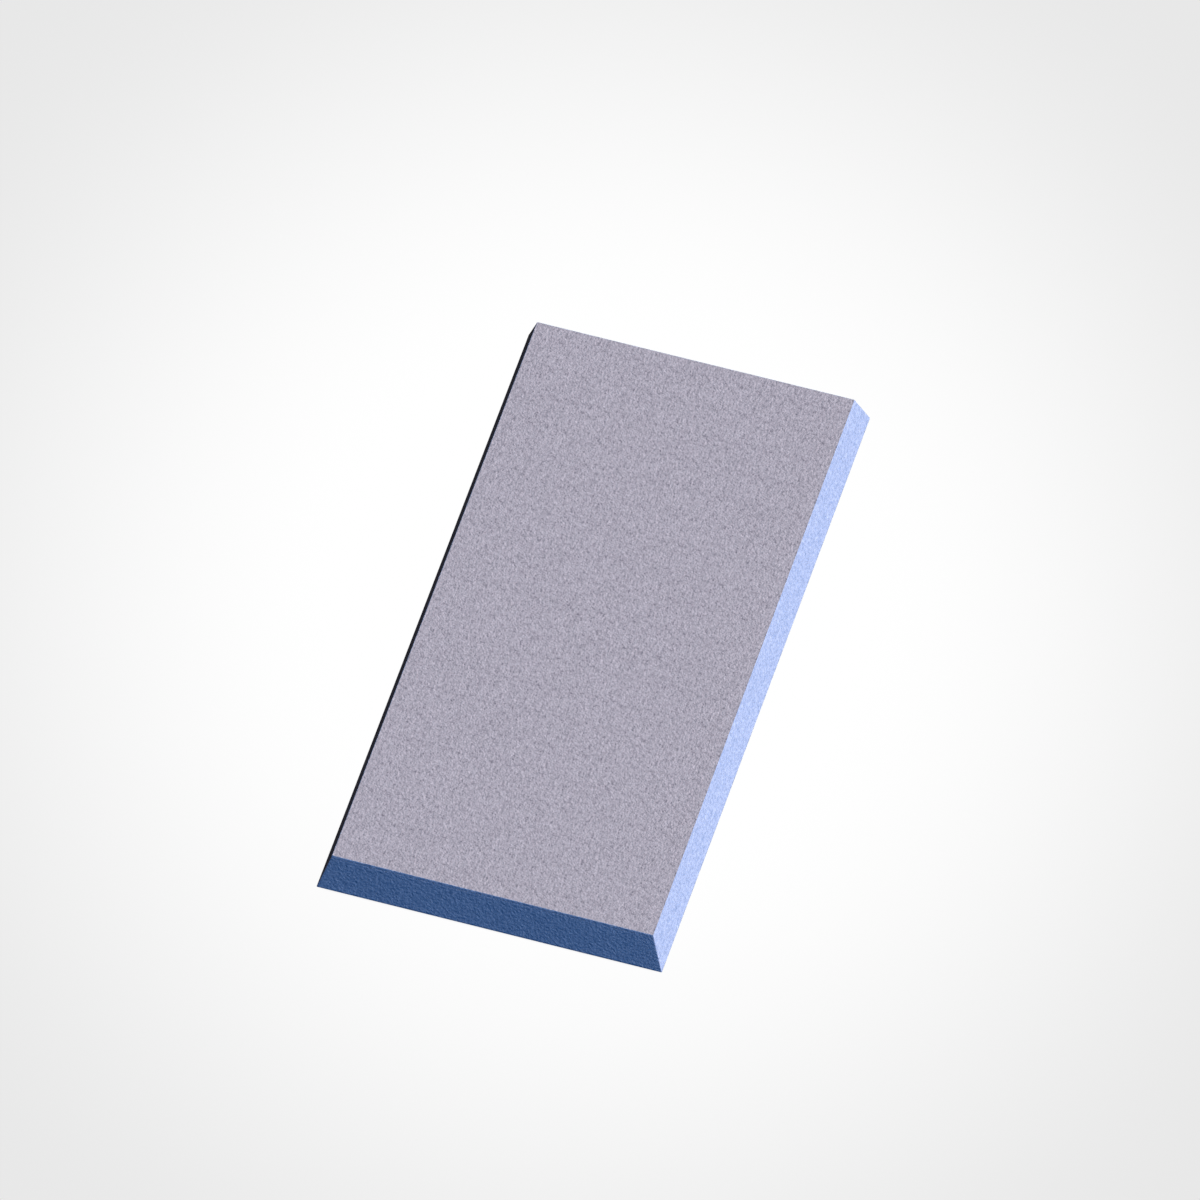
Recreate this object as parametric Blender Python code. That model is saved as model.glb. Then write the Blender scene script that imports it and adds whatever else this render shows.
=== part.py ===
"""Bench whetstone: a grit-faced steel plate bonded to a ribbed, moulded base on four rubber feet.

Metres, +Z up. The origin is the middle of the footprint, on the surface that the feet stand on.
X runs across the stone and Y along it.
"""

import math

import bmesh
import bpy

# Overall sizes
BASE_LENGTH = 0.150  # underside of the base, along Y
BASE_WIDTH = 0.075  # underside of the base, along X
BODY_HEIGHT = 0.0087  # from the underside of the base up to the honing face
SIDE_INSET = 0.00265  # how far each side leans in over the body's height
CORNER_RADIUS = 0.0002  # upright corners of the base and of the plate

# Honing plate and the film that bonds it
PLATE_THICKNESS = 0.0006
PLATE_EDGE_BREAK = 0.0001
FILM_THICKNESS = 0.0003
RIM_WIDTH = 0.0025  # land around the film recess that the plate's edge covers
RECESS_CORNER_RADIUS = 0.002

# Moulded base
WALL = 0.002  # outer wall, at every height
DECK_THICKNESS = 0.002  # between the film recess and the pockets
RIB_THICKNESS = 0.0016  # at the open end of the pockets
LARGEST_POCKET = 0.0135  # a pocket's longest side
POCKET_DRAFT = math.radians(1.5)
POCKET_CORNER_RADIUS = 0.0008
BASE_EDGE_BREAK = 0.0001

# Rubber feet, each a disc in a seat with a stem pressed into a socket
FOOT_DIAMETER = 0.009
FOOT_STAND_OUT = 0.0008  # how far the feet hold the base off the bench
FOOT_SEAT_DEPTH = 0.0012
FOOT_EDGE_RADIUS = 0.0004
FOOT_LAND = 0.0015  # plastic left around a foot's seat
STEM_DIAMETER = 0.004
STEM_LENGTH = 0.003
STEM_LEAD = 0.0006  # taper at the stem's tip

CLEARANCE = 0.0003  # between every two pieces that meet

# Fineness of round shapes
CORNER_STEPS = 4
ROUND_STEPS = 40
FILLET_STEPS = 3

# Heights that follow from the sizes above
BASE_BOTTOM = FOOT_STAND_OUT
HONING_FACE = BASE_BOTTOM + BODY_HEIGHT
PLATE_BOTTOM = HONING_FACE - PLATE_THICKNESS
RIM_TOP = PLATE_BOTTOM - CLEARANCE
FILM_BOTTOM = RIM_TOP - FILM_THICKNESS
RECESS_FLOOR = FILM_BOTTOM - CLEARANCE
DECK_UNDERSIDE = RECESS_FLOOR - DECK_THICKNESS
FOOT_SEAT_TOP = BASE_BOTTOM + FOOT_SEAT_DEPTH

CUT_OVERRUN = 0.001  # how far a cutter reaches past the surface that it opens
WELD_DISTANCE = 1e-7  # closes a turned shape at its axis and its seam
SMOOTH_ANGLE = math.radians(35)  # facets meeting at less than this are shaded as one surface


def remove_all_objects():
    for thing in list(bpy.data.objects):
        bpy.data.objects.remove(thing, do_unlink=True)


def make_material(name, colour, roughness, metallic):
    material = bpy.data.materials.new(name)
    material.use_nodes = True
    shader = material.node_tree.nodes["Principled BSDF"]
    shader.inputs["Base Color"].default_value = (*colour, 1.0)
    shader.inputs["Roughness"].default_value = roughness
    shader.inputs["Metallic"].default_value = metallic
    material.diffuse_color = (*colour, 1.0)
    return material


def make_object(name, mesh_data, material=None):
    """A new object in the scene from a bmesh, with its faces turned outwards."""
    bmesh.ops.recalc_face_normals(mesh_data, faces=mesh_data.faces)
    mesh = bpy.data.meshes.new(name)
    mesh_data.to_mesh(mesh)
    mesh_data.free()
    thing = bpy.data.objects.new(name, mesh)
    bpy.context.scene.collection.objects.link(thing)
    if material:
        mesh.materials.append(material)
    return thing


def side_lean(height):
    """How far the outside has leaned in at a height above the bench."""
    return SIDE_INSET * (height - BASE_BOTTOM) / BODY_HEIGHT


def rounded_rectangle(low_x, high_x, low_y, high_y, radius):
    """Points round a rectangle with round corners, anticlockwise from the high X, low Y corner."""
    corners = (
        (high_x - radius, low_y + radius, -90),
        (high_x - radius, high_y - radius, 0),
        (low_x + radius, high_y - radius, 90),
        (low_x + radius, low_y + radius, 180),
    )
    points = []
    for centre_x, centre_y, start in corners:
        for step in range(CORNER_STEPS + 1):
            angle = math.radians(start + 90 * step / CORNER_STEPS)
            points.append((centre_x + radius * math.cos(angle), centre_y + radius * math.sin(angle)))
    return points


def add_loft(mesh_data, sections):
    """Joins outlines, each given as (points, height), into one closed shape with flat ends."""
    rings = []
    for points, height in sections:
        rings.append([mesh_data.verts.new((x, y, height)) for x, y in points])
    for lower, upper in zip(rings, rings[1:]):
        count = len(lower)
        for i in range(count):
            following = (i + 1) % count
            mesh_data.faces.new((lower[i], lower[following], upper[following], upper[i]))
    mesh_data.faces.new(reversed(rings[0]))
    mesh_data.faces.new(rings[-1])


def body_outline(height, inset=0.0, radius=CORNER_RADIUS):
    """The stone's outline at a height, moved inwards by an inset."""
    half_x = BASE_WIDTH / 2 - side_lean(height) - inset
    half_y = BASE_LENGTH / 2 - side_lean(height) - inset
    return rounded_rectangle(-half_x, half_x, -half_y, half_y, radius)


def recess_outline(inset=0.0):
    """The film recess's outline, moved inwards by an inset."""
    return body_outline(RIM_TOP, RIM_WIDTH + inset, RECESS_CORNER_RADIUS - inset)


def turn_profile(mesh_data, profile, centre=(0.0, 0.0)):
    """Spins an outline of (radius, height) points, whose ends are on the axis, about an upright axis."""
    x, y = centre
    line = [mesh_data.verts.new((x + radius, y, height)) for radius, height in profile]
    edges = [mesh_data.edges.new(pair) for pair in zip(line, line[1:])]
    bmesh.ops.spin(
        mesh_data,
        geom=line + edges,
        cent=(x, y, 0.0),
        axis=(0.0, 0.0, 1.0),
        angle=math.tau,
        steps=ROUND_STEPS,
        use_merge=True,
    )
    bmesh.ops.remove_doubles(mesh_data, verts=mesh_data.verts, dist=WELD_DISTANCE)


def cut_away(thing, cutter):
    """Takes a cutter out of an object with a Boolean, and leaves the cutter out of renders."""
    cutter.hide_render = True
    cutter.display_type = "WIRE"
    boolean = thing.modifiers.new(cutter.name, "BOOLEAN")
    boolean.operation = "DIFFERENCE"
    boolean.solver = "EXACT"
    boolean.object = cutter


def foot_places():
    """Each foot's name and centre."""
    inset = FOOT_LAND + CLEARANCE + FOOT_DIAMETER / 2
    x = BASE_WIDTH / 2 - inset
    y = BASE_LENGTH / 2 - inset
    return {
        "foot_front_left": (-x, -y),
        "foot_front_right": (x, -y),
        "foot_rear_left": (-x, y),
        "foot_rear_right": (x, y),
    }


def pocket_spans(outer_size):
    """The stretches between ribs across one direction of the underside, as (low, high)."""
    inner = outer_size - 2 * WALL
    count = math.ceil((inner + RIB_THICKNESS) / (LARGEST_POCKET + RIB_THICKNESS))
    pocket = (inner - (count - 1) * RIB_THICKNESS) / count
    starts = [-inner / 2 + i * (pocket + RIB_THICKNESS) for i in range(count)]
    return [(start, start + pocket) for start in starts]


def meets_boss(span_x, span_y):
    """Whether a pocket would break into the solid boss around a foot."""
    boss = FOOT_DIAMETER / 2 + CLEARANCE + FOOT_LAND
    for x, y in foot_places().values():
        beside = span_x[0] < x + boss and span_x[1] > x - boss
        along = span_y[0] < y + boss and span_y[1] > y - boss
        if beside and along:
            return True
    return False


def pocket_outline(span_x, span_y, height):
    """A pocket's outline at a height: its ribs have draft, and its outer sides lean with the wall."""
    edges = []
    for (low, high), size in ((span_x, BASE_WIDTH), (span_y, BASE_LENGTH)):
        draft = (height - BASE_BOTTOM) * math.tan(POCKET_DRAFT)
        limit = size / 2 - WALL - side_lean(height)
        edges += [max(low + draft, -limit), min(high - draft, limit)]
    return rounded_rectangle(*edges, POCKET_CORNER_RADIUS)


def make_pocket_cutter():
    """Every pocket of the ribbed underside."""
    mesh_data = bmesh.new()
    heights = (BASE_BOTTOM - CUT_OVERRUN, DECK_UNDERSIDE)
    for span_x in pocket_spans(BASE_WIDTH):
        for span_y in pocket_spans(BASE_LENGTH):
            if not meets_boss(span_x, span_y):
                add_loft(mesh_data, [(pocket_outline(span_x, span_y, z), z) for z in heights])
    return make_object("pocket_cutter", mesh_data)


def make_recess_cutter():
    mesh_data = bmesh.new()
    heights = (RECESS_FLOOR, RIM_TOP + CUT_OVERRUN)
    add_loft(mesh_data, [(recess_outline(), z) for z in heights])
    return make_object("film_recess_cutter", mesh_data)


def make_seat_cutter():
    """The seat and the stem socket of every foot."""
    seat_radius = FOOT_DIAMETER / 2 + CLEARANCE
    socket_radius = STEM_DIAMETER / 2 + CLEARANCE
    socket_top = FOOT_SEAT_TOP + STEM_LENGTH
    profile = (
        (0.0, BASE_BOTTOM - CUT_OVERRUN),
        (seat_radius, BASE_BOTTOM - CUT_OVERRUN),
        (seat_radius, FOOT_SEAT_TOP),
        (socket_radius, FOOT_SEAT_TOP),
        (socket_radius, socket_top),
        (0.0, socket_top),
    )
    mesh_data = bmesh.new()
    for centre in foot_places().values():
        turn_profile(mesh_data, profile, centre)
    return make_object("foot_seat_cutter", mesh_data)


def make_base(material):
    """The moulded base, with its edge broken all round underneath."""
    mesh_data = bmesh.new()
    sections = (
        (body_outline(BASE_BOTTOM, BASE_EDGE_BREAK), BASE_BOTTOM),
        (body_outline(BASE_BOTTOM + BASE_EDGE_BREAK), BASE_BOTTOM + BASE_EDGE_BREAK),
        (body_outline(RIM_TOP), RIM_TOP),
    )
    add_loft(mesh_data, sections)
    base = make_object("base", mesh_data, material)
    cut_away(base, make_recess_cutter())
    cut_away(base, make_pocket_cutter())
    cut_away(base, make_seat_cutter())
    return base


def make_film(material):
    """The bonding film, in the recess under the plate."""
    mesh_data = bmesh.new()
    outline = recess_outline(CLEARANCE)
    add_loft(mesh_data, [(outline, FILM_BOTTOM), (outline, FILM_BOTTOM + FILM_THICKNESS)])
    return make_object("adhesive_film", mesh_data, material)


def make_plate(material):
    """The steel plate, whose edges carry on the lean of the base's sides."""
    mesh_data = bmesh.new()
    shoulder = HONING_FACE - PLATE_EDGE_BREAK
    sections = (
        (body_outline(PLATE_BOTTOM), PLATE_BOTTOM),
        (body_outline(shoulder), shoulder),
        (body_outline(HONING_FACE, PLATE_EDGE_BREAK), HONING_FACE),
    )
    add_loft(mesh_data, sections)
    return make_object("abrasive_plate", mesh_data, material)


def foot_profile():
    """A foot's outline from its sole up to the tip of its stem."""
    radius = FOOT_DIAMETER / 2
    disc_top = FOOT_SEAT_TOP - CLEARANCE
    stem_top = FOOT_SEAT_TOP + STEM_LENGTH - CLEARANCE
    stem_radius = STEM_DIAMETER / 2
    points = [(0.0, 0.0)]
    for step in range(FILLET_STEPS + 1):
        angle = math.radians(90 * step / FILLET_STEPS)
        out = radius - FOOT_EDGE_RADIUS * (1 - math.sin(angle))
        up = FOOT_EDGE_RADIUS * (1 - math.cos(angle))
        points.append((out, up))
    points += [
        (radius, disc_top),
        (stem_radius, disc_top),
        (stem_radius, stem_top - STEM_LEAD),
        (stem_radius - STEM_LEAD / 2, stem_top),
        (0.0, stem_top),
    ]
    return points


def make_feet(material):
    for name, (x, y) in foot_places().items():
        mesh_data = bmesh.new()
        turn_profile(mesh_data, foot_profile())
        foot = make_object(name, mesh_data, material)
        foot.location = (x, y, 0.0)
        foot.data.shade_smooth()
        foot.data.set_sharp_from_angle(angle=SMOOTH_ANGLE)


def main():
    remove_all_objects()
    make_base(make_material("blue_plastic", (0.12, 0.24, 0.52), 0.6, 0.0))
    make_film(make_material("adhesive", (0.70, 0.66, 0.52), 0.5, 0.0))
    make_plate(make_material("grit_plated_steel", (0.40, 0.38, 0.45), 0.75, 0.3))
    make_feet(make_material("black_rubber", (0.025, 0.025, 0.027), 0.85, 0.0))


main()
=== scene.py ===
"""Looks of the bench whetstone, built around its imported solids.

The honing plate, the moulded base and the feet get finer meshes: grit relief on the honing face, a
moulded texture on the base's sides, rounded edges, a ribbed underside and ringed soles. The bonding
film keeps its solid and gets a material. Lengths are in metres.
"""

import math

import bmesh
import bpy
import numpy as np
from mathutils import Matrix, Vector


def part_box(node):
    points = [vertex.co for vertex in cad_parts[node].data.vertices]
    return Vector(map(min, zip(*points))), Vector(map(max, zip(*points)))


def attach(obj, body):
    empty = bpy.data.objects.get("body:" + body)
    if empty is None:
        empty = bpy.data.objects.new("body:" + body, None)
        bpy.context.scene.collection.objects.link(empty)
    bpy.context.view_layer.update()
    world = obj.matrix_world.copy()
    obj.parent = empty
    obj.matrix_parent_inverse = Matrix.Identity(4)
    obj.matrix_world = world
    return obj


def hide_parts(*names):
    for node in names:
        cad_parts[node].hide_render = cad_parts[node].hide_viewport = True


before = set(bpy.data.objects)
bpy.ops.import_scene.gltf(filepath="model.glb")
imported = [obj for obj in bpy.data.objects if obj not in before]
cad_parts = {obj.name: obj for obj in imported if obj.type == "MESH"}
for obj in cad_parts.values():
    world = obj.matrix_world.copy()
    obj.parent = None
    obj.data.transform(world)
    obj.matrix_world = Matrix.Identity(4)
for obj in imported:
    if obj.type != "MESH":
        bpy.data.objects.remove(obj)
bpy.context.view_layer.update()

MM = 0.001
BODY = "root"
FEET = ("foot_front_left", "foot_front_right", "foot_rear_left", "foot_rear_right")

# Places that come from the frame
BASE_LOW, BASE_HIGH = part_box("base")
PLATE_LOW, PLATE_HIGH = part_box("abrasive_plate")
FILM_LOW, FILM_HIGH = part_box("adhesive_film")
FOOT_LOW, FOOT_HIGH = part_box(FEET[0])
FOOT_RADIUS = (FOOT_HIGH.x - FOOT_LOW.x) / 2

# Sizes of the solids that the boxes don't give
EDGE_BREAK = 0.1 * MM  # along the base's lower edge
CLEARANCE = 0.3 * MM  # that the solids keep where two pieces touch
CORNER_RADIUS = 0.2 * MM  # upright corners of the base and the plate
RECESS_CORNER_RADIUS = 2.0 * MM
DECK_THICKNESS = 2.0 * MM  # between the film's recess and the pockets
WALL = 2.0 * MM
RIB_THICKNESS = 1.6 * MM
LARGEST_POCKET = 13.5 * MM
POCKET_DRAFT = math.radians(1.5)
POCKET_CORNER_RADIUS = 0.8 * MM
FOOT_LAND = 1.5 * MM  # plastic left around a foot's seat
SEAT_DEPTH = 1.2 * MM
STEM_RADIUS = 2.0 * MM
STEM_LENGTH = 3.0 * MM
STEM_LEAD = 0.6 * MM  # taper at the stem's tip
FOOT_EDGE_RADIUS = 0.4 * MM

# Detail that only the looks have
SEAM = 0.03 * MM  # hairline between the base and the plate
PLATE_EDGE_RADIUS = 0.08 * MM
RIM_EDGE_RADIUS = 0.08 * MM
MOUTH_RADIUS = 0.25 * MM  # rounding of the pockets' mouths, and chamfer of the seats
GRIT_SPACING = 0.34 * MM  # between the points of the honing face
GRIT_DEPTH = 0.05 * MM
GRIT_FINEST = 0.42 * MM
GRIT_COARSEST = 1.6 * MM
PLATE_EDGE_DROP = 0.3 * GRIT_DEPTH  # from the tops of the grit to where the edge starts
WALL_SPACING = 0.4 * MM  # between the points of the base's sides
WALL_RELIEF = 0.035 * MM
WALL_FINEST = 0.45 * MM
WALL_COARSEST = 1.8 * MM
GRIP_RINGS = (0.25, 0.5, 0.72)  # places of the sole's rings, as shares of its radius
GRIP_DEPTH = 0.25 * MM  # of the grooves between the rings
RING_HALF_WIDTH = 0.2 * MM
RING_SLOPE = 0.15 * MM
OUTER_RING_LAND = 0.1 * MM  # flat of the outermost ring, inside the sole's round edge
FOOT_CHAMFER = 0.15 * MM  # on top of the disc and at the root of the stem

# Fineness
CORNER_STEPS = 6
EDGE_STEPS = 3
BASE_EDGE_STEPS = 4
PLATE_SIDE_STEPS = 2
FOOT_EDGE_STEPS = 6
SEAT_STEPS = 64
FOOT_STEPS = 96
CUT_OVERRUN = 1.0 * MM  # how far a cutter reaches past the surface that it opens
SHARP_ANGLE = math.radians(50)  # an edge that turns by more than this is shaded as sharp
BASE_SHARP_ANGLE = math.radians(38)

# Colours of the stone, as linear red, green and blue
GRIT_DARK = ((0.181, 0.183, 0.252), (0.175, 0.186, 0.249))  # the two ends of its hue
GRIT_PALE = ((0.518, 0.537, 0.674), (0.512, 0.540, 0.671))
PLASTIC_DARK = (0.150, 0.255, 0.510)
PLASTIC_PALE = (0.290, 0.425, 0.730)
RUBBER_DARK = (0.018, 0.018, 0.019)
RUBBER_BLOOM = (0.034, 0.034, 0.036)
FILM_DARK = (0.62, 0.58, 0.45)
FILM_PALE = (0.74, 0.71, 0.60)
GRIT_REPEAT = 7.2 * MM  # the grit's pattern starts again at every step of this size

# Camera, found from the perspective of the stone's eight visible corners
CAMERA_AZIMUTH = math.radians(17.03)  # to the right of the front end
CAMERA_ELEVATION = math.radians(53.62)
CAMERA_DISTANCE = 6.299
CAMERA_LENS = 905.3  # focal length, in the same unit as the sensor's width
CAMERA_SENSOR = 36.0
CAMERA_RIGHT = 1.063 * MM  # aim, to the right of the middle of the base's underside
CAMERA_UP = 10.656 * MM  # and above it, as the camera sees them
CAMERA_NEAREST = 0.1
CAMERA_FARTHEST = 50.0

# Lights: where each shines from, its strength and its colour
LIGHTS = {
    "top_light": ((0.36, 0.063, 1.0), 0.70, (1.0, 1.0, 1.0)),
    "right_light": ((0.95, 0.10, 0.25), 1.72, (1.0, 0.760, 0.648)),
    "front_light": ((0.10, -0.95, -0.20), 0.20, (0.05, 0.45, 1.0)),
    "back_light": ((0.12, 0.95, 0.10), 0.30, (1.0, 1.0, 1.0)),
    "left_light": ((-0.95, 0.05, -0.10), 0.040, (1.0, 0.55, 0.35)),
}
LIGHT_SPREAD = math.radians(12)
AMBIENT = 0.02

# Floor, with a painted pool of light and a painted shadow under the stone
FLOOR_HALF = 8.0
FLOOR_DROP = 0.02 * MM  # below the soles
FLOOR_LIGHT_POOL = 52.184 * MM  # radius of the painted pool of light, the floor's palest part
FLOOR_REACH = 177.427 * MM  # radius where the painted pool of light has faded to the floor's darkest
FLOOR_FAR = 0.807  # how pale it is there
# Painted shadow under the stone, fading out over SHADOW_FADE towards the base's edge
SHADOW_FADE = 3.0 * MM
SHADOW_DEPTH = 0.12  # how pale the painted shadow leaves the floor under the stone


# Shapes that several pieces use


def side_lean():
    """How far the sides lean in for each metre of height."""
    height = PLATE_LOW.z - (BASE_LOW.z + EDGE_BREAK)
    return (BASE_HIGH.x - PLATE_HIGH.x) / height


def half_sizes(height):
    """Half the stone's width and length at a height."""
    lean = side_lean() * (height - BASE_LOW.z - EDGE_BREAK)
    return BASE_HIGH.x - lean, BASE_HIGH.y - lean


def outline(half_x, half_y, radius, steps_x, steps_y):
    """Points and outward normals round a rectangle with round corners, anticlockwise.

    The straight sides take steps_x and steps_y steps, so outlines of one count can be joined up.
    """
    inner_x = half_x - radius
    inner_y = half_y - radius
    corners = ((inner_x, -inner_y), (inner_x, inner_y), (-inner_x, inner_y), (-inner_x, -inner_y))
    points = []
    normals = []
    for side in range(4):
        start = np.array(corners[side])
        end = np.array(corners[(side + 1) % 4])
        turn = side * math.pi / 2
        normal = np.array((math.cos(turn), math.sin(turn)))
        steps = steps_x if side % 2 else steps_y
        share = np.arange(steps)[:, None] / steps
        points.append(start + (end - start) * share + normal * radius)
        normals.append(np.repeat(normal[None], steps, axis=0))
        angles = turn + np.arange(CORNER_STEPS) / CORNER_STEPS * math.pi / 2
        arc = np.stack((np.cos(angles), np.sin(angles)), axis=1)
        points.append(end + arc * radius)
        normals.append(arc)
    return np.concatenate(points), np.concatenate(normals)


def raised(points, height):
    """Flat points lifted to a height."""
    return np.column_stack((points, np.full(len(points), height)))


def quarter(radius, steps):
    """(out, up) of a quarter circle's points, from its lowest point out to its side."""
    turns = np.arange(steps + 1) / steps * math.pi / 2
    return [(radius * math.sin(t), radius * (1 - math.cos(t))) for t in turns]


def relief(rows, columns, spacing, finest, coarsest, seed):
    """Random relief between two wavelengths, which repeats at its edges, with a spread of 1."""
    white = np.random.default_rng(seed).standard_normal((rows, columns))
    along = np.fft.fftfreq(rows, spacing)[:, None]
    across = np.fft.fftfreq(columns, spacing)[None, :]
    frequency = np.hypot(along, across)
    band = np.exp(-((frequency * finest) ** 2)) - np.exp(-((frequency * coarsest) ** 2))
    heights = np.fft.ifft2(np.fft.fft2(white) * band).real
    return heights / heights.std()


def sunk(heights, depth):
    """Relief turned into depths from 0 down to the given depth, with flat tops and bottoms."""
    return depth * np.clip(0.5 - heights / 5, 0, 1)


def ring_faces(rings, count, downwards=False):
    """Faces that join rings of one count, facing outwards whether the rings go up or down."""
    faces = []
    for ring in range(rings - 1):
        near = ring * count
        far = near + count
        for i in range(count):
            j = (i + 1) % count
            if downwards:
                faces.append((near + j, near + i, far + i, far + j))
            else:
                faces.append((near + i, near + j, far + j, far + i))
    return faces


def linked(name, mesh, material=None):
    """A new object in the scene that shows a mesh."""
    thing = bpy.data.objects.new(name, mesh)
    bpy.context.scene.collection.objects.link(thing)
    if material:
        mesh.materials.append(material)
    return thing


def mesh_object(name, points, faces, material):
    mesh = bpy.data.meshes.new(name)
    mesh.from_pydata([tuple(p) for p in points], [], faces)
    mesh.update()
    return linked(name, mesh, material)


def bmesh_object(name, mesh_data, material=None):
    """A new object from a bmesh, with its faces turned outwards."""
    bmesh.ops.recalc_face_normals(mesh_data, faces=mesh_data.faces)
    mesh = bpy.data.meshes.new(name)
    mesh_data.to_mesh(mesh)
    mesh_data.free()
    return linked(name, mesh, material)


def add_loft(mesh_data, sections):
    """Joins outlines, each an array of points, into one closed shape with flat ends."""
    rings = [[mesh_data.verts.new(p) for p in points] for points in sections]
    count = len(rings[0])
    for lower, upper in zip(rings, rings[1:]):
        for i in range(count):
            j = (i + 1) % count
            mesh_data.faces.new((lower[i], lower[j], upper[j], upper[i]))
    mesh_data.faces.new(reversed(rings[0]))
    mesh_data.faces.new(rings[-1])


def turn_profile(mesh_data, profile, centre, steps):
    """Spins an outline of (radius, height) points, whose ends are on the axis."""
    x, y = centre
    turns = [i * math.tau / steps for i in range(steps)]
    rings = []
    for radius, height in profile:
        if radius == 0:
            places = [(x, y, height)]
        else:
            places = [(x + radius * math.cos(t), y + radius * math.sin(t), height) for t in turns]
        rings.append([mesh_data.verts.new(place) for place in places])
    for lower, upper in zip(rings, rings[1:]):
        for i in range(steps):
            j = (i + 1) % steps
            bottom = [lower[i % len(lower)], lower[j % len(lower)]]
            top = [upper[j % len(upper)], upper[i % len(upper)]]
            # At the axis two corners are one point, which a face takes once.
            mesh_data.faces.new(dict.fromkeys(bottom + top))


def shade(thing, sharp_angle):
    """Smooth shading, broken at the edges that turn by more than an angle."""
    thing.data.shade_smooth()
    thing.data.set_sharp_from_angle(angle=sharp_angle)


# Materials


class Nodes:
    """A material's nodes, with the few kinds that the stone's materials use."""

    def __init__(self, name):
        self.material = bpy.data.materials.new(name)
        self.material.use_nodes = True
        self.tree = self.material.node_tree
        self.shader = self.tree.nodes["Principled BSDF"]
        self.coordinates = self.add("ShaderNodeTexCoord").outputs["Object"]

    def add(self, kind, **settings):
        node = self.tree.nodes.new(kind)
        for name, value in settings.items():
            setattr(node, name, value)
        return node

    def feed(self, socket, value):
        """Sets a socket to a value, or links it to an output."""
        if isinstance(value, bpy.types.NodeSocket):
            self.tree.links.new(value, socket)
        else:
            socket.default_value = value

    def noise(self, wavelength, detail, roughness=0.5, place=None):
        """Noise whose main features repeat at about this wavelength, between 0 and 1."""
        node = self.add("ShaderNodeTexNoise")
        self.feed(node.inputs["Vector"], place or self.coordinates)
        self.feed(node.inputs["Scale"], 1 / wavelength)
        self.feed(node.inputs["Detail"], detail)
        self.feed(node.inputs["Roughness"], roughness)
        return node.outputs["Fac"]

    def flattened(self, place, stretch, level):
        """Coordinates with features stretched along the stone, all from one level of the noise."""
        node = self.add("ShaderNodeVectorMath", operation="MULTIPLY_ADD")
        self.feed(node.inputs[0], place)
        self.feed(node.inputs[1], (1.0, 1 / stretch, 0.0))
        self.feed(node.inputs[2], (0.0, 0.0, level))
        return node.outputs["Vector"]

    def wrapped(self, size):
        """Coordinates that start again at every step of this size."""
        node = self.add("ShaderNodeVectorMath", operation="WRAP")
        self.feed(node.inputs[0], self.coordinates)
        self.feed(node.inputs[1], (size, size, size))
        self.feed(node.inputs[2], (0.0, 0.0, 0.0))
        return node.outputs["Vector"]

    def ranged(self, value, low, high, to_low, to_high, smooth=False):
        """Value carried from one range to another, and held inside it."""
        node = self.add("ShaderNodeMapRange", clamp=True)
        node.interpolation_type = "SMOOTHSTEP" if smooth else "LINEAR"
        for socket, number in zip(node.inputs[1:5], (low, high, to_low, to_high)):
            self.feed(socket, number)
        self.feed(node.inputs["Value"], value)
        return node.outputs["Result"]

    def maths(self, operation, first, second=0.0):
        node = self.add("ShaderNodeMath", operation=operation)
        self.feed(node.inputs[0], first)
        self.feed(node.inputs[1], second)
        return node.outputs["Value"]

    def summed(self, first, *more):
        total = first
        for value in more:
            total = self.maths("ADD", total, value)
        return total

    def mixed(self, share, first, second):
        """Two colours mixed, each an output or three numbers."""
        node = self.add("ShaderNodeMix", data_type="RGBA")
        self.feed(node.inputs[0], share)
        for socket, colour in zip(node.inputs[6:8], (first, second)):
            self.feed(socket, (*colour, 1.0) if isinstance(colour, tuple) else colour)
        return node.outputs[2]

    def bumped(self, height, distance):
        """Bumps up to a distance high."""
        node = self.add("ShaderNodeBump")
        self.feed(node.inputs["Height"], height)
        self.feed(node.inputs["Distance"], distance)
        self.feed(self.shader.inputs["Normal"], node.outputs["Normal"])

    def finish(self, colour, roughness, specular=0.5):
        self.feed(self.shader.inputs["Base Color"], colour)
        self.feed(self.shader.inputs["Roughness"], roughness)
        self.feed(self.shader.inputs["Specular IOR Level"], specular)
        return self.material


def grit_material():
    """Bonded grit: matt grey with a violet cast, and dark spots in a pattern that repeats."""
    n = Nodes("bonded_grit")
    along = n.flattened(n.coordinates, stretch=1.35, level=11.0 * MM)
    tile = n.flattened(n.wrapped(GRIT_REPEAT), stretch=1.28, level=65.1 * MM)
    grain = n.noise(0.56 * MM, detail=1.0, roughness=0.6, place=along)
    fine = n.noise(0.40 * MM, detail=0.0)
    repeat = n.noise(0.62 * MM, detail=2.0, roughness=0.6, place=tile)
    drift = n.noise(9.0 * MM, detail=1.0)
    hue = n.noise(2.4 * MM, detail=1.0)
    # Darker spots in the grit's colour, where the repeating noise is low.
    spots = n.ranged(repeat, 0.30, 0.45, -0.22, 0.03)
    share = n.summed(
        n.ranged(grain, 0.2, 0.8, 0.27, 0.73),
        n.ranged(repeat, 0.25, 0.75, -0.20, 0.20),
        spots,
        n.ranged(drift, 0.3, 0.7, -0.01, 0.01),
    )
    colour = n.mixed(share, n.mixed(hue, *GRIT_DARK), n.mixed(hue, *GRIT_PALE))
    n.bumped(fine, 0.08 * MM)
    return n.finish(colour, n.ranged(grain, 0.3, 0.7, 0.74, 0.90), specular=0.1)


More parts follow.
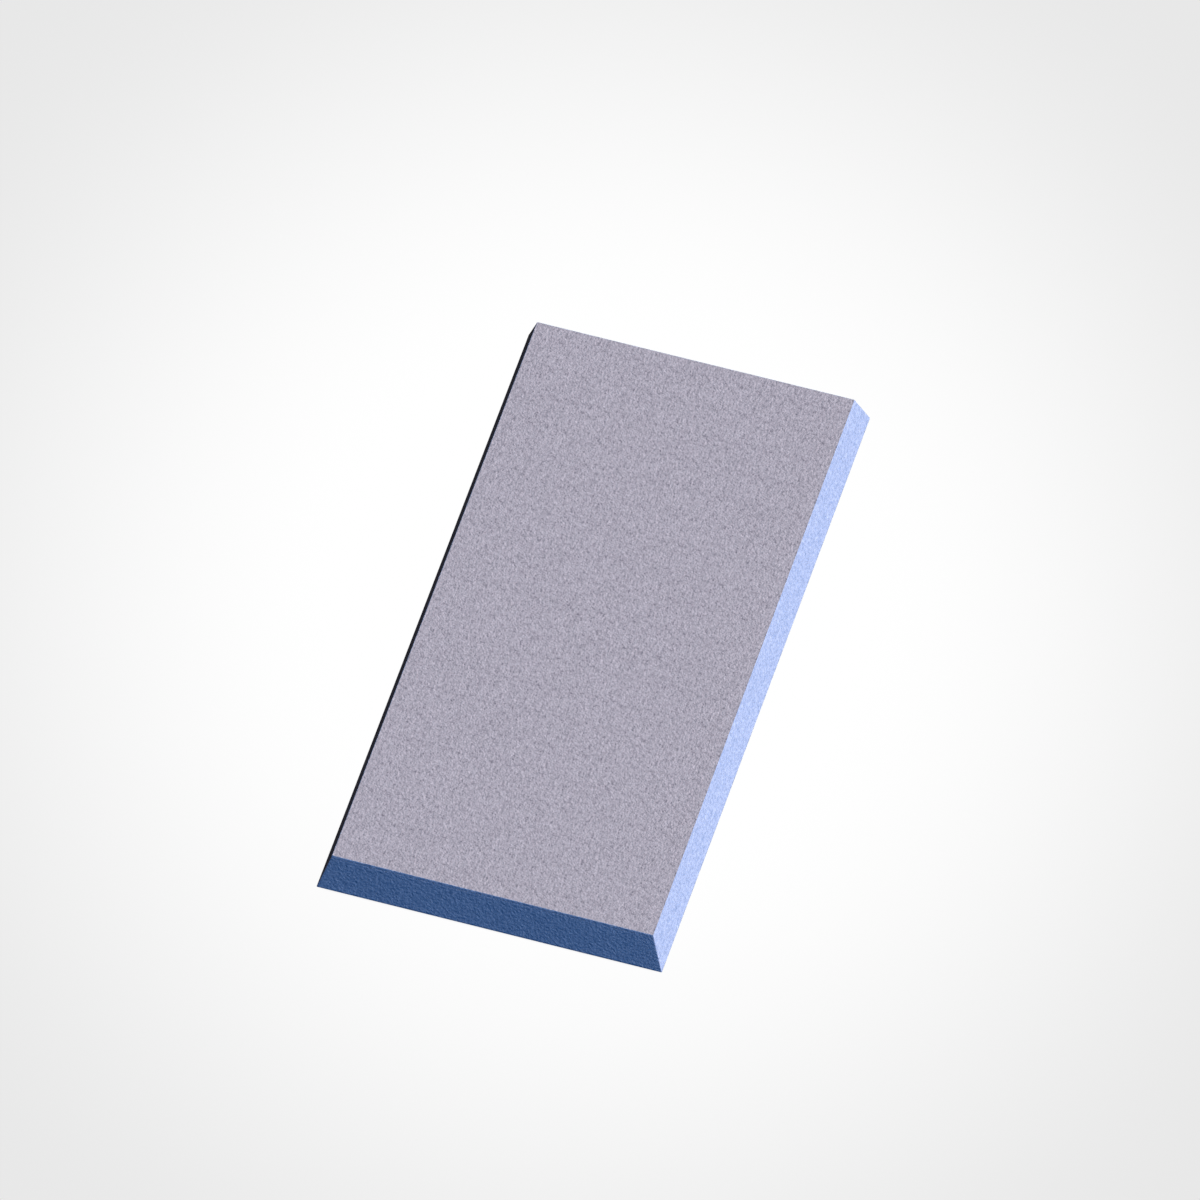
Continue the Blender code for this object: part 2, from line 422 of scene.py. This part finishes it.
def plastic_material():
    """The base's blue plastic, with the fine grain of its mould."""
    n = Nodes("blue_moulded_plastic")
    grain = n.noise(0.6 * MM, detail=1.0, roughness=0.6)
    fine = n.noise(0.55 * MM, detail=1.0)
    mottle = n.noise(1.1 * MM, detail=0.0)
    cloud = n.noise(14.0 * MM, detail=2.0)
    share = n.summed(
        n.ranged(grain, 0.2, 0.8, 0.02, 0.98),
        n.ranged(cloud, 0.3, 0.7, -0.03, 0.03),
        n.ranged(mottle, 0.25, 0.75, -0.13, 0.13),
    )
    n.bumped(fine, 0.14 * MM)
    return n.finish(n.mixed(share, PLASTIC_DARK, PLASTIC_PALE), n.ranged(grain, 0.3, 0.7, 0.52, 0.66))


def rubber_material():
    """Black rubber, a little bloomed in patches."""
    n = Nodes("black_rubber")
    bloom = n.noise(1.8 * MM, detail=3.0)
    grain = n.noise(0.12 * MM, detail=1.0)
    black = n.mixed(n.ranged(bloom, 0.35, 0.7, 0.0, 1.0), RUBBER_DARK, RUBBER_BLOOM)
    n.bumped(grain, 0.01 * MM)
    return n.finish(black, n.ranged(bloom, 0.3, 0.7, 0.72, 0.88))


def film_material():
    """Pale bonding film with faint flow marks."""
    n = Nodes("bonding_film")
    flow = n.noise(5.0 * MM, detail=3.0)
    return n.finish(n.mixed(flow, FILM_DARK, FILM_PALE), n.ranged(flow, 0.3, 0.7, 0.35, 0.5))


# Honing plate


def honing_grid(half_x, half_y, steps_x, steps_y):
    """Points and faces of the honing face, row by row, with its grit relief."""
    columns = steps_x + 1
    rows = steps_y + 1
    heights = relief(rows, columns, GRIT_SPACING, GRIT_FINEST, GRIT_COARSEST, seed=3)
    across = np.linspace(-half_x, half_x, columns)
    along = np.linspace(-half_y, half_y, rows)
    xs, ys = np.meshgrid(across, along)
    points = np.stack((xs, ys, PLATE_HIGH.z - sunk(heights, GRIT_DEPTH)), axis=2).reshape(-1, 3)
    faces = []
    for row in range(steps_y):
        for column in range(steps_x):
            first = row * columns + column
            faces.append((first, first + 1, first + 1 + columns, first + columns))
    return points, faces


def grid_border(steps_x, steps_y):
    """The grid's outermost points in an outline's order, each corner once for every step of its arc."""
    columns = steps_x + 1
    last_row = steps_y * columns
    right = [row * columns + steps_x for row in range(steps_y)]
    back = [last_row + steps_x - column for column in range(steps_x)]
    left = [last_row - row * columns for row in range(steps_y)]
    front = list(range(steps_x))
    border = []
    for side, corner in ((right, back[0]), (back, left[0]), (left, front[0]), (front, right[0])):
        border += side + [corner] * CORNER_STEPS
    return border


def plate_profile():
    """(inset, height) of the rings that go over the plate's round edge and down its side."""
    edge_top = PLATE_HIGH.z - PLATE_EDGE_DROP
    profile = []
    for out, down in quarter(PLATE_EDGE_RADIUS, EDGE_STEPS):
        profile.append((PLATE_EDGE_RADIUS - out, edge_top - down))
    side_top = profile[-1][1]
    for step in range(1, PLATE_SIDE_STEPS + 1):
        profile.append((0.0, side_top + (PLATE_LOW.z - side_top) * step / PLATE_SIDE_STEPS))
    return profile


def honing_plate(grit, coat):
    """The plate: the honing face in grit, and its edge, side and underside in the base's coat."""
    half_x, half_y = half_sizes(PLATE_HIGH.z)
    inner_x = half_x - CORNER_RADIUS
    inner_y = half_y - CORNER_RADIUS
    steps_x = round(2 * inner_x / GRIT_SPACING)
    steps_y = round(2 * inner_y / GRIT_SPACING)
    top, faces = honing_grid(inner_x, inner_y, steps_x, steps_y)
    rings = []
    for inset, height in plate_profile():
        size_x, size_y = half_sizes(height)
        points, _ = outline(size_x - inset, size_y - inset, CORNER_RADIUS - inset, steps_x, steps_y)
        rings.append(raised(points, height))

    border = grid_border(steps_x, steps_y)
    count = len(border)
    start = len(top)
    for i in range(count):
        j = (i + 1) % count
        face = (border[i], start + i, start + j)
        faces.append(face if border[i] == border[j] else (*face, border[j]))
    coat_start = len(faces)
    for face in ring_faces(len(rings), count, downwards=True):
        faces.append(tuple(start + corner for corner in face))
    last_ring = start + (len(rings) - 1) * count
    faces.append(tuple(range(last_ring + count - 1, last_ring - 1, -1)))

    plate = mesh_object("honing_plate", np.concatenate([top, *rings]), faces, grit)
    plate.data.materials.append(coat)
    slots = np.zeros(len(faces), np.int32)
    slots[coat_start:] = 1
    plate.data.polygons.foreach_set("material_index", slots)
    shade(plate, SHARP_ANGLE)
    return plate


# Base


def foot_places():
    """Each foot's name and centre."""
    places = {}
    for name in FEET:
        low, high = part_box(name)
        places[name] = ((low.x + high.x) / 2, (low.y + high.y) / 2)
    return places


def pocket_spans(outer_size):
    """The stretches between ribs across one direction of the underside."""
    inner = outer_size - 2 * WALL
    count = math.ceil((inner + RIB_THICKNESS) / (LARGEST_POCKET + RIB_THICKNESS))
    pocket = (inner - (count - 1) * RIB_THICKNESS) / count
    starts = [-inner / 2 + i * (pocket + RIB_THICKNESS) for i in range(count)]
    return [(start, start + pocket) for start in starts]


def meets_boss(span_x, span_y):
    """Whether a pocket would break into the solid boss around a foot."""
    boss = FOOT_RADIUS + CLEARANCE + FOOT_LAND
    for x, y in foot_places().values():
        beside = span_x[0] < x + boss and span_x[1] > x - boss
        along = span_y[0] < y + boss and span_y[1] > y - boss
        if beside and along:
            return True
    return False


def pocket_section(span_x, span_y, height, flare):
    """A pocket's outline at a height, widened by a flare near its mouth."""
    bounds = []
    for (low, high), outer in zip((span_x, span_y), half_sizes(height)):
        draft = max(height - BASE_LOW.z, 0.0) * math.tan(POCKET_DRAFT)
        limit = outer - WALL
        bounds.append((max(low + draft, -limit) - flare, min(high - draft, limit) + flare))
    (low_x, high_x), (low_y, high_y) = bounds
    radius = POCKET_CORNER_RADIUS + flare
    points, _ = outline((high_x - low_x) / 2, (high_y - low_y) / 2, radius, 1, 1)
    return raised(points + ((low_x + high_x) / 2, (low_y + high_y) / 2), height)


def pocket_cutter():
    """The pockets of the underside, with round edges at their mouths."""
    ceiling = FILM_LOW.z - CLEARANCE - DECK_THICKNESS
    heights = [(BASE_LOW.z - CUT_OVERRUN, MOUTH_RADIUS)]
    for out, up in quarter(MOUTH_RADIUS, EDGE_STEPS):
        heights.append((BASE_LOW.z + up, MOUTH_RADIUS - out))
    heights.append((ceiling, 0.0))
    mesh_data = bmesh.new()
    for span_x in pocket_spans(2 * (BASE_HIGH.x + side_lean() * EDGE_BREAK)):
        for span_y in pocket_spans(2 * (BASE_HIGH.y + side_lean() * EDGE_BREAK)):
            if not meets_boss(span_x, span_y):
                add_loft(mesh_data, [pocket_section(span_x, span_y, z, flare) for z, flare in heights])
    return bmesh_object("pocket_cutter", mesh_data)


def seat_cutter():
    """The seat and the stem socket of every foot."""
    seat = FOOT_RADIUS + CLEARANCE
    socket = STEM_RADIUS + CLEARANCE
    seat_top = BASE_LOW.z + SEAT_DEPTH
    profile = (
        (0, BASE_LOW.z - CUT_OVERRUN),
        (seat + MOUTH_RADIUS, BASE_LOW.z - CUT_OVERRUN),
        (seat + MOUTH_RADIUS, BASE_LOW.z),
        (seat, BASE_LOW.z + MOUTH_RADIUS),
        (seat, seat_top),
        (socket, seat_top),
        (socket, seat_top + STEM_LENGTH),
        (0, seat_top + STEM_LENGTH),
    )
    mesh_data = bmesh.new()
    for centre in foot_places().values():
        turn_profile(mesh_data, profile, centre, SEAT_STEPS)
    return bmesh_object("seat_cutter", mesh_data)


def cut_away(thing, cutters):
    """Takes the cutters out of an object's mesh for good, and removes them."""
    for cutter in cutters:
        boolean = thing.modifiers.new(cutter.name, "BOOLEAN")
        boolean.operation = "DIFFERENCE"
        boolean.solver = "EXACT"
        boolean.object = cutter
    graph = bpy.context.evaluated_depsgraph_get()
    settled = bpy.data.meshes.new_from_object(thing.evaluated_get(graph))
    thing.modifiers.clear()
    thing.data = settled
    settled.name = thing.name
    for cutter in cutters:
        bpy.data.objects.remove(cutter, do_unlink=True)


def base_profile():
    """(inset, height, textured) of the rings up the base's lower edge, its side and its rim's edge."""
    side_low = BASE_LOW.z + EDGE_BREAK
    rim = PLATE_LOW.z - SEAM
    side_high = rim - RIM_EDGE_RADIUS
    profile = []
    for out, up in quarter(EDGE_BREAK, BASE_EDGE_STEPS):
        profile.append((EDGE_BREAK - out, BASE_LOW.z + up, False))
    rows = round((side_high - side_low) / WALL_SPACING)
    for row in range(1, rows + 1):
        profile.append((0.0, side_low + (side_high - side_low) * row / rows, row < rows))
    for out, down in quarter(RIM_EDGE_RADIUS, EDGE_STEPS)[-2::-1]:
        profile.append((RIM_EDGE_RADIUS - out, rim - down, False))
    return profile


def moulded_base(material):
    """The base: rings up its textured sides and into the film's recess, then its underside cut."""
    half_x, half_y = half_sizes(BASE_LOW.z)
    steps_x = round(2 * half_x / WALL_SPACING)
    steps_y = round(2 * half_y / WALL_SPACING)
    profile = base_profile()
    count = 2 * (steps_x + steps_y) + 4 * CORNER_STEPS
    texture = relief(len(profile), count, WALL_SPACING, WALL_FINEST, WALL_COARSEST, seed=8)
    rings = []
    for (inset, height, textured), depths in zip(profile, sunk(texture, WALL_RELIEF)):
        size_x, size_y = half_sizes(max(height, BASE_LOW.z + EDGE_BREAK))
        radius = max(CORNER_RADIUS - inset, 0.1 * CORNER_RADIUS)
        points, normals = outline(size_x - inset, size_y - inset, radius, steps_x, steps_y)
        if textured:
            points = points - normals * depths[:, None]
        rings.append(raised(points, height))
    recess_x = FILM_HIGH.x + CLEARANCE
    recess_y = FILM_HIGH.y + CLEARANCE
    recess, _ = outline(recess_x, recess_y, RECESS_CORNER_RADIUS, steps_x, steps_y)
    rings.append(raised(recess, PLATE_LOW.z - SEAM))
    rings.append(raised(recess, FILM_LOW.z - CLEARANCE))
    faces = ring_faces(len(rings), count)
    faces.append(tuple(range(count - 1, -1, -1)))
    last_ring = (len(rings) - 1) * count
    faces.append(tuple(range(last_ring, last_ring + count)))
    base = mesh_object("moulded_base", np.concatenate(rings), faces, material)
    cut_away(base, (pocket_cutter(), seat_cutter()))
    shade(base, BASE_SHARP_ANGLE)
    return base


# Feet


def foot_profile(low, high):
    """A foot's outline from its sole up to the tip of its stem, between two heights."""
    groove = low + GRIP_DEPTH
    edge_start = FOOT_RADIUS - FOOT_EDGE_RADIUS
    outer_ring = edge_start - OUTER_RING_LAND
    disc_top = BASE_LOW.z + SEAT_DEPTH - CLEARANCE
    profile = [(0, groove)]
    for share in GRIP_RINGS:
        middle = share * FOOT_RADIUS
        profile += [
            (middle - RING_HALF_WIDTH - RING_SLOPE, groove),
            (middle - RING_HALF_WIDTH, low),
            (middle + RING_HALF_WIDTH, low),
            (middle + RING_HALF_WIDTH + RING_SLOPE, groove),
        ]
    profile += [(outer_ring - RING_SLOPE, groove), (outer_ring, low)]
    for out, up in quarter(FOOT_EDGE_RADIUS, FOOT_EDGE_STEPS):
        profile.append((edge_start + out, low + up))
    profile += [
        (FOOT_RADIUS, disc_top - FOOT_CHAMFER),
        (FOOT_RADIUS - FOOT_CHAMFER, disc_top),
        (STEM_RADIUS + FOOT_CHAMFER, disc_top),
        (STEM_RADIUS, disc_top + FOOT_CHAMFER),
        (STEM_RADIUS, high - STEM_LEAD),
        (STEM_RADIUS - STEM_LEAD / 2, high),
        (0, high),
    ]
    return profile


def rubber_foot(name, centre, material):
    """A moulded foot: rings round its sole, a rounded edge, and its stem."""
    low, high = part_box(name)
    mesh_data = bmesh.new()
    turn_profile(mesh_data, foot_profile(low.z, high.z), centre, FOOT_STEPS)
    foot = bmesh_object("rubber_" + name, mesh_data, material)
    shade(foot, SHARP_ANGLE)
    return foot


# Stage, lights and camera


def camera_axes():
    """The camera's backward, right and upward directions."""
    back = Vector((
        math.sin(CAMERA_AZIMUTH) * math.cos(CAMERA_ELEVATION),
        -math.cos(CAMERA_AZIMUTH) * math.cos(CAMERA_ELEVATION),
        math.sin(CAMERA_ELEVATION),
    ))
    right = Vector((math.cos(CAMERA_AZIMUTH), math.sin(CAMERA_AZIMUTH), 0.0))
    return back, right, back.cross(right)


def make_camera():
    """The camera at the photograph's viewing angle. It gives back the point that it aims at."""
    back, right, up = camera_axes()
    data = bpy.data.cameras.new("camera")
    data.sensor_width = CAMERA_SENSOR
    data.lens = CAMERA_LENS
    data.clip_start = CAMERA_NEAREST
    data.clip_end = CAMERA_FARTHEST
    camera = bpy.data.objects.new("camera", data)
    target = Vector((0.0, 0.0, BASE_LOW.z)) + right * CAMERA_RIGHT + up * CAMERA_UP
    camera.location = target + back * CAMERA_DISTANCE
    camera.rotation_euler = (-back).to_track_quat("-Z", "Y").to_euler()
    bpy.context.scene.collection.objects.link(camera)
    bpy.context.scene.camera = camera
    return target


def make_sun(name, direction, strength, colour):
    """A distant, soft lamp that shines from a direction."""
    data = bpy.data.lights.new(name, "SUN")
    data.energy = strength * math.pi
    data.color = colour
    data.angle = LIGHT_SPREAD
    sun = bpy.data.objects.new(name, data)
    sun.rotation_euler = Vector(direction).to_track_quat("Z", "Y").to_euler()
    sun.location = Vector(direction).normalized()
    bpy.context.scene.collection.objects.link(sun)


def make_world():
    """Weak even light from all round, and a pale backdrop past the floor."""
    world = bpy.data.worlds.new("studio")
    bpy.context.scene.world = world
    world.use_nodes = True
    tree = world.node_tree
    ambient = tree.nodes["Background"]
    ambient.inputs["Color"].default_value = (1.0, 1.0, 1.0, 1.0)
    ambient.inputs["Strength"].default_value = AMBIENT
    backdrop = tree.nodes.new("ShaderNodeBackground")
    backdrop.inputs["Color"].default_value = (FLOOR_FAR, FLOOR_FAR, FLOOR_FAR, 1.0)
    path = tree.nodes.new("ShaderNodeLightPath")
    mix = tree.nodes.new("ShaderNodeMixShader")
    tree.links.new(path.outputs["Is Camera Ray"], mix.inputs[0])
    tree.links.new(ambient.outputs[0], mix.inputs[1])
    tree.links.new(backdrop.outputs[0], mix.inputs[2])
    tree.links.new(mix.outputs[0], tree.nodes["World Output"].inputs["Surface"])


def floor_material():
    """A pale floor that shines by itself, with a painted pool of light round the stone, darker away
    from it, and a painted shadow under it.
    """
    n = Nodes("pale_floor")
    # The painted pool of light is an oval on the floor, which looks round from the camera's elevation.
    shape = n.add("ShaderNodeVectorMath", operation="MULTIPLY")
    n.feed(shape.inputs[0], n.coordinates)
    n.feed(shape.inputs[1], (1.0, math.sin(CAMERA_ELEVATION), 0.0))
    length = n.add("ShaderNodeVectorMath", operation="LENGTH")
    n.feed(length.inputs[0], shape.outputs["Vector"])
    pale = n.ranged(length.outputs["Value"], FLOOR_LIGHT_POOL, FLOOR_REACH, 1.0, FLOOR_FAR, smooth=True)
    # Painted shadow: the floor's glow is darkened inside the base's footprint, fading towards its edge.
    place = n.add("ShaderNodeNewGeometry").outputs["Position"]
    split = n.add("ShaderNodeSeparateXYZ")
    n.feed(split.inputs[0], place)
    under = 1.0
    for axis, half in (("X", BASE_HIGH.x), ("Y", BASE_HIGH.y)):
        distance = n.maths("ABSOLUTE", split.outputs[axis])
        inside = n.ranged(distance, half - SHADOW_FADE, half, 1.0, 0.0, smooth=True)
        under = n.maths("MULTIPLY", inside, under)
    pale = n.maths("MULTIPLY", pale, n.ranged(under, 0.0, 1.0, 1.0, SHADOW_DEPTH))
    glow = n.add("ShaderNodeEmission")
    n.feed(glow.inputs["Strength"], pale)
    n.feed(n.tree.nodes["Material Output"].inputs["Surface"], glow.outputs[0])
    return n.material


def make_floor(centre):
    """The floor, turned with the camera so that its painted pool of light is centred in the picture."""
    half = FLOOR_HALF
    corners = [(-half, -half, 0.0), (half, -half, 0.0), (half, half, 0.0), (-half, half, 0.0)]
    floor = mesh_object("floor", corners, [(0, 1, 2, 3)], floor_material())
    floor.location = (centre.x, centre.y, -FLOOR_DROP)
    floor.rotation_euler.z = CAMERA_AZIMUTH
    floor.visible_diffuse = False
    floor.visible_glossy = False
    floor.visible_shadow = False


def make_stage():
    target = make_camera()
    back, _, _ = camera_axes()
    make_floor(target - back * (target.z / back.z))
    make_world()
    for name, (direction, strength, colour) in LIGHTS.items():
        make_sun(name, direction, strength, colour)
    view = bpy.context.scene.view_settings
    view.view_transform = "Standard"
    view.look = "None"


def main():
    make_stage()
    plastic = plastic_material()
    rubber = rubber_material()

    plate = honing_plate(grit_material(), plastic)
    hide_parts("abrasive_plate")
    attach(plate, BODY)

    base = moulded_base(plastic)
    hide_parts("base")
    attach(base, BODY)

    for name, centre in foot_places().items():
        foot = rubber_foot(name, centre, rubber)
        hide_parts(name)
        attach(foot, BODY)

    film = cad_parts["adhesive_film"]
    film.data.materials.clear()
    film.data.materials.append(film_material())


main()
